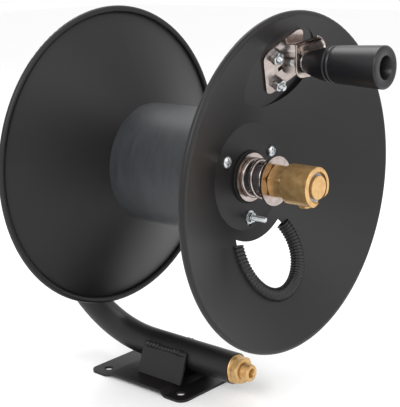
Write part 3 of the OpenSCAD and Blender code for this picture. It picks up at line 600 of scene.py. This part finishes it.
def makeTab():
    # Tongue on the leg's near corner, rolled over toward +Y: an arc section carried along the lift,
    # its radius a little greater at the end
    look = yoke
    a = np.radians(np.linspace(*look["tabRollDegrees"], 25))
    edge = look["sheet"] / 2
    middleR = look["tabR"] - edge
    turn = np.linspace(0, np.pi, 7)[1:-1]
    endA, startA = a[-1], a[0]
    tipEnd = middleR + edge * np.cos(turn), np.full(5, endA) + edge * np.sin(turn) / middleR
    tipStart = middleR - edge * np.cos(turn), np.full(5, startA) - edge * np.sin(turn) / middleR
    r = np.concatenate([np.full(25, look["tabR"]), tipEnd[0], np.full(25, middleR - edge), tipStart[0]])
    angle = np.concatenate([a, tipEnd[1], a[::-1], tipStart[1]])
    along = np.concatenate([np.linspace(-look["sheet"], look["tabL"] - 1.0, 30),
                            look["tabL"] - 1.0 + np.array([0.4, 0.75, 1.0])])
    soft = np.concatenate([np.zeros(30), [0.1, 0.35, 0.8]])
    flare = look["tabFlare"] * np.clip(along / look["tabL"], 0, 1) ** 3
    r = middleR + (r - middleR)[None, :] * (1 - soft[:, None]) + flare[:, None]
    lift = math.radians(look["tabLiftDegrees"])
    y = r * np.sin(angle) + gripY - look["w"] / 2 - 0.4
    up = r * np.cos(angle) - look["tabR"]
    x = legX + look["sheet"] + along[:, None] * math.cos(lift) - up * math.sin(lift)
    z = gripZ + look["top"] + along[:, None] * math.sin(lift) + up * math.cos(lift)
    return closedSweep(np.stack([x, y, z], axis=-1))


def makeYoke():
    points, faces = joinParts([makeStrap(), makeTab()])
    makePiece("crankYoke", onReel(points), faces, "reel", "nickel_plate", ["crank_yoke"], 50)


makeYoke()

grip = {"l": 78.95, "smallD": 18.4, "bigD": 37, "neckL": 28, "neckD": 32.2, "grooveL": 1.7,
        "grooveDeep": 0.9, "grooveAt": (26.5, 31.0), "endR": 2.2, "boreD": 20, "webL": 28, "seam": 0.12,
        "boltBoreR": 4.05, "boreEdge": 0.6, "legWasher": 1.2, "headWasher": 1.5, "play": 0.1}
gripX = legX + yoke["sheet"] + grip["legWasher"] + grip["play"]
crankHeadX = gripX + grip["webL"] + grip["play"] + grip["headWasher"]


def makeGrip():
    # Outside: a bowed flare to the neck, then a straight taper, less two round grooves and plus the
    # mould's parting line, a low ridge on both sides. Then the end's round edge, the bore and the web.
    look = grip
    steps = 180
    s = np.concatenate([np.linspace(0, 1, 8)[:-1], np.linspace(1, look["l"] - look["endR"], 150)])
    flare = np.clip(s / look["neckL"], 0, 1)
    taper = np.clip((s - look["neckL"]) / (look["l"] - look["neckL"]), 0, 1)
    r = (look["smallD"] / 2 + (look["neckD"] - look["smallD"]) / 2 * (1 - (1 - flare) ** 1.5)
         + (look["bigD"] - look["neckD"]) / 2 * taper)
    r -= np.where(s < 1, 1 - np.sqrt(1 - (1 - np.clip(s, 0, 1)) ** 2), 0)
    for at in look["grooveAt"]:
        r -= look["grooveDeep"] * np.exp(-((s - at) / look["grooveL"] * 2) ** 4)
    bend = np.linspace(0, np.pi / 2, 9)[1:]
    endX = look["l"] - look["endR"] + look["endR"] * np.sin(bend)
    endR = look["bigD"] / 2 - look["endR"] + look["endR"] * np.cos(bend)
    boreX = [look["l"], look["l"] - look["boreEdge"], look["webL"], look["webL"], 0]
    bore = look["boreD"] / 2
    boreR = [bore + look["boreEdge"], bore, bore, look["boltBoreR"], look["boltBoreR"]]
    length = np.concatenate([s, endX, boreX])[:, None]
    radius = np.concatenate([r, endR, boreR])[:, None]
    angle = (np.arange(steps) / steps * 2 * np.pi)[None, :]
    outside = (np.arange(len(length)) < len(s))[:, None]
    seam = look["seam"] * np.exp(-(np.sin(angle) / 0.035) ** 2) * outside
    radius = radius + seam
    points = np.stack([radius * np.cos(angle), radius * np.sin(angle),
                       np.repeat(length, steps, axis=1)], axis=-1).reshape(-1, 3)
    faces = gridFaces(len(length), steps, wrapRows=True)
    makePiece("gripFlared", onReelAxis(points, gripX, gripY, gripZ, 0.9), faces, "crank_grip",
              "grip_plastic", ["grip"], 50)


makeGrip()


def makeCrankBolt():
    look = crankBolt
    length = crankHeadX - (lugX - look["pastLug"])
    points, faces = hexBolt(look["d"], look["headAf"], look["headH"], length - look["threadL"], length,
                            look["pitch"])
    flipped = place(points, onReel(np.array([crankHeadX, gripY, gripZ])), (-1, 0, 0), (0, 0.8, 0.6))
    makePiece("crankBoltThreaded", flipped, faces, "reel", "zinc_plate", ["crank_bolt"], 50)
    points, faces = hexNut(look["nutAf"], look["nutH"], look["d"] / 2)
    makePiece("crankLockNut", onReelAxis(points, legX - look["nutH"], gripY, gripZ, 0.5), faces,
              "reel", "zinc_plate", ["crank_nut"], 50)


makeCrankBolt()
print("crank made")


# ---- drag spring and swivel stem

brake = {"springD": 37, "wire": 4, "springL": 25.5, "turns": 3.3, "closedTurns": 0.5, "grind": 0.3,
         "lining": 1.5, "washer": 2, "endPlay": 0.1}
stem = {"flats": 28.5, "hexL": 15.5, "spindleD": 21.2, "threadR": 10, "threadL": 16, "bodyL": 29,
        "proud": 1.5, "bodyPlay": 0.1, "edge": 0.6}
springX = flatOut + brake["lining"] + brake["endPlay"] + brake["washer"]
hexX = springX + brake["springL"] + brake["washer"]


def makeSpring():
    # Helix with level end turns; the wire is round, and the ends are ground flat by clipping the length
    look = brake
    coilR = (look["springD"] - look["wire"]) / 2
    t = np.linspace(0, look["turns"], int(look["turns"] * 96))[:, None]
    active = look["turns"] - 2 * look["closedTurns"]
    lift = look["springL"] - look["wire"] + 2 * look["grind"]
    rise = look["wire"] / 2 - look["grind"] + lift * np.clip((t - look["closedTurns"]) / active, 0, 1)
    a = (np.arange(24) / 24 * 2 * np.pi)[None, :]
    r = coilR + look["wire"] / 2 * np.cos(a)
    x = np.clip(rise + look["wire"] / 2 * np.sin(a), 0, look["springL"])
    turn = 2 * np.pi * t
    rings = np.stack([r * np.cos(turn), r * np.sin(turn), x + 0 * r], axis=-1)
    points, faces = closedSweep(rings[:, ::-1])
    makePiece("dragSpringWound", onReelAxis(points, springX), faces, "stand", "nickel_plate",
              ["drag_spring"], 50)


def makeStem():
    look = stem
    end = look["hexL"] + look["bodyPlay"] + look["bodyL"] + look["proud"]
    r = look["spindleD"] / 2
    rows = [(-look["threadL"], look["threadR"], "p"), (0, look["threadR"], "p")]
    rows += chamferRows(0, look["hexL"], look["flats"])
    edge = look["edge"]
    rows += [(look["hexL"], r, "p"), (end - edge, r, "p"), (end, r - edge, "p")]
    points, faces = turnedBar(rows, 144, look["flats"])
    makePiece("swivelStemTurned", onReelAxis(points, hexX, turn=math.radians(12)), faces, "stand",
              "brass", ["swivel_stem"], 35)


makeSpring()
makeStem()
print("brake and swivel made")


# ---- stand: inlet, braze and welds

tubeZ = 0.029           # height of the middle of the tube's lower run, in metres
legEnd = np.array(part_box("stand_tube")[1]) * [1, 0, 0] + [0, 0, tubeZ]
inlet = {"braze": 2.2, "hexL": 8, "flats": 24, "stubD": 17.1, "stubL": 9, "boreD": 8.6,
         "spigotR": 12, "spigotL": 15, "pitch": 1.41, "taper": 0.03}
fillet = {"at": (0, 0.2, 0.8, 1.5, 2.0), "r": (12.2, 14.0, 13.9, 13.1, 12.5, 12.2),
          "belly": (0, 1, 1, 0.8, 0.4, 0), "under": 0.1, "wander": (0.35, 0.2)}
weld = {"beadR": 3.0, "ripple": 0.45, "wander": 0.6, "rippleMm": 4.0, "leanDegrees": 19,
        "x": (-12.5, 43.5), "tubeR": 15}


def makeInlet():
    look = inlet
    a, b = look["braze"], look["braze"] + look["hexL"]
    end = b + look["stubL"]
    bore = look["boreD"] / 2
    rows = [(-look["spigotL"], bore, "p"), (-look["spigotL"], look["spigotR"], "p"),
            (a, look["spigotR"], "p")] + chamferRows(a, b, look["flats"])
    top = look["stubD"] / 2
    rows += [(b, top - 0.9, "p"), (b + 0.8, top - 0.9, "p")]
    rows += [(x, r - look["taper"] * (x - b), k)
             for x, r, k in threadRows(b + 0.8, end - 0.8, top, look["pitch"])]
    rows += [(end, top - 1.2, "p"), (end, bore + 0.5, "p"), (end - 0.5, bore, "p")]
    points, faces = turnedRing(rows, 96, look["flats"], (look["pitch"], 0.9))
    makePiece("inletThreaded", place(points, legEnd, (1, 0, 0), (0, 0.26, 0.97)), faces, "stand",
              "brass", ["inlet_fitting"], 45)


def makeBraze():
    # A fillet whose outer radius wanders round the tube by two sines of the angle, most at its belly
    look = fillet
    steps = 96
    angle = (np.arange(steps) / steps * 2 * np.pi)[None, :]
    wander = look["wander"][0] * np.sin(3 * angle + 1) + look["wander"][1] * np.sin(7 * angle)
    span = np.array([*look["at"], inlet["braze"] + look["under"]])[:, None]
    outer = np.array(look["r"])[:, None]
    radius = outer + wander * np.array(look["belly"])[:, None]
    points = np.stack([radius * np.cos(angle), radius * np.sin(angle),
                       np.repeat(span, steps, axis=1)], axis=-1).reshape(-1, 3)
    faces = gridFaces(len(span), steps)
    faces += [list(range(steps - 1, -1, -1)), [(len(span) - 1) * steps + k for k in range(steps)]]
    makePiece("inletBrazeFillet", place(points, legEnd, (1, 0, 0), (0, 1, 0)), faces, "stand",
              "brass", ["inlet_braze"], 60)


def weldBead(start, end, outward, seed):
    # A bead from start to end in millimetres: round section, its radius rippled along the way and its
    # line wandering, both as sums of sines; the ends close to a point
    look = weld
    length = np.linalg.norm(np.array(end) - start)
    t = np.linspace(0, 1, int(length * 3))
    way = t * length
    side = look["wander"] * (np.sin(way / 5.3 + seed) + 0.5 * np.sin(way / 2.1 + 2 * seed))
    path = np.outer(1 - t, start) + np.outer(t, end) + np.outer(side, outward) * 0.4
    path[:, 2] += side * 0.8
    close = np.sqrt(np.clip(1 - np.abs(2 * t - 1) ** 14, 0, 1))
    radius = (look["beadR"] + look["ripple"] * np.sin(2 * np.pi * way / look["rippleMm"] + seed)
              + 0.3 * np.sin(way / 6.7 + seed)) * close + 0.02
    a = np.arange(16) / 16 * 2 * np.pi
    section = np.stack([radius[:, None] * np.cos(a), radius[:, None] * np.sin(a)], axis=-1)
    return closedSweep(alongCurve(path, section, np.repeat([outward], len(t), axis=0)))


def makeWelds():
    look = weld
    a = math.radians(look["leanDegrees"])
    r = look["tubeR"] + 0.7
    beads = []
    for side in (-1, 1):
        y, z = side * r * math.cos(a), legEnd[2] / mm + r * math.sin(a)
        beads.append(weldBead(np.array([look["x"][0], y, z]), np.array([look["x"][1], y, z]),
                              np.array([0, side * math.cos(a), math.sin(a)]), 1.0 + side))
    points, faces = joinParts(beads)
    makePiece("saddleWelds", points * mm, faces, "stand", "powder_steel", (), 60)


makeInlet()
makeBraze()
makeWelds()
print("stand finished")


# ---- studio: floor, lights and camera

def softLight(name, spot, aim, size, watts):
    light = bpy.data.lights.new(name, "AREA")
    light.shape = "RECTANGLE"
    light.size, light.size_y = size
    light.energy = watts
    lamp = bpy.data.objects.new(name, light)
    bpy.context.scene.collection.objects.link(lamp)
    lamp.location = spot
    lamp.rotation_euler = (Vector(aim) - Vector(spot)).to_track_quat("-Z", "Y").to_euler()


studio = {"floor": "#fbfbfb", "floorSize": 12.0, "sky": 1.0, "keyWatts": 16, "fillWatts": 7,
          "rimWatts": 8}


def makeStudio():
    look = studio
    half = look["floorSize"] / 2
    mesh = bpy.data.meshes.new("studioFloor")
    mesh.from_pydata([(-half, -half, 0), (half, -half, 0), (half, half, 0), (-half, half, 0)], [],
                     [(0, 1, 2, 3)])
    floor = bpy.data.objects.new("studioFloor", mesh)
    bpy.context.scene.collection.objects.link(floor)
    material, _, surface, _ = newMaterial("floorPaperMatt")
    surface.inputs["Base Color"].default_value = paint(look["floor"])
    surface.inputs["Roughness"].default_value = 0.9
    surface.inputs["Specular IOR Level"].default_value = 0.1
    mesh.materials.append(material)
    world = bpy.data.worlds.new("studioAir")
    world.use_nodes = True
    air = world.node_tree.nodes["Background"]
    air.inputs["Color"].default_value = (1, 1, 1, 1)
    air.inputs["Strength"].default_value = look["sky"]
    bpy.context.scene.world = world
    middle = tuple(reelMiddle)
    softLight("keySoftbox", (0.5, -1.3, 1.3), middle, (0.9, 0.9), look["keyWatts"])
    softLight("fillSoftbox", (1.6, 0.2, 0.9), middle, (0.8, 1.0), look["fillWatts"])
    softLight("topSoftbox", (-0.6, 0.3, 1.5), middle, (1.0, 0.6), look["rimWatts"])
    bpy.context.scene.view_settings.view_transform = "Standard"


view = {"azimuth": 41.248, "elevation": 10.647, "roll": -0.999, "at": (0.6805, -0.7233, 0.4195),
        "lens": 92.36, "shift": (0.0117, -0.1363)}


def makeCamera():
    # azimuth turns from straight along +Y toward +X, elevation lifts, roll tips the picture
    look = view
    a, e, r = (math.radians(look[key]) for key in ("azimuth", "elevation", "roll"))
    back = np.array([math.sin(a) * math.cos(e), -math.cos(a) * math.cos(e), math.sin(e)])
    right = np.array([math.cos(a), math.sin(a), 0])
    up = np.cross(back, right)
    right, up = right * math.cos(r) + up * math.sin(r), up * math.cos(r) - right * math.sin(r)
    camera = bpy.data.cameras.new("studioCamera")
    camera.lens = look["lens"]
    camera.sensor_width = 36
    camera.sensor_fit = "HORIZONTAL"
    camera.shift_x, camera.shift_y = look["shift"]
    camera.clip_end = 50
    holder = bpy.data.objects.new("studioCamera", camera)
    bpy.context.scene.collection.objects.link(holder)
    axes = np.eye(4)
    axes[:3, 0], axes[:3, 1], axes[:3, 2], axes[:3, 3] = right, up, back, look["at"]
    holder.matrix_world = Matrix(axes.tolist())
    bpy.context.scene.camera = holder


makeStudio()
makeCamera()
print("studio set")
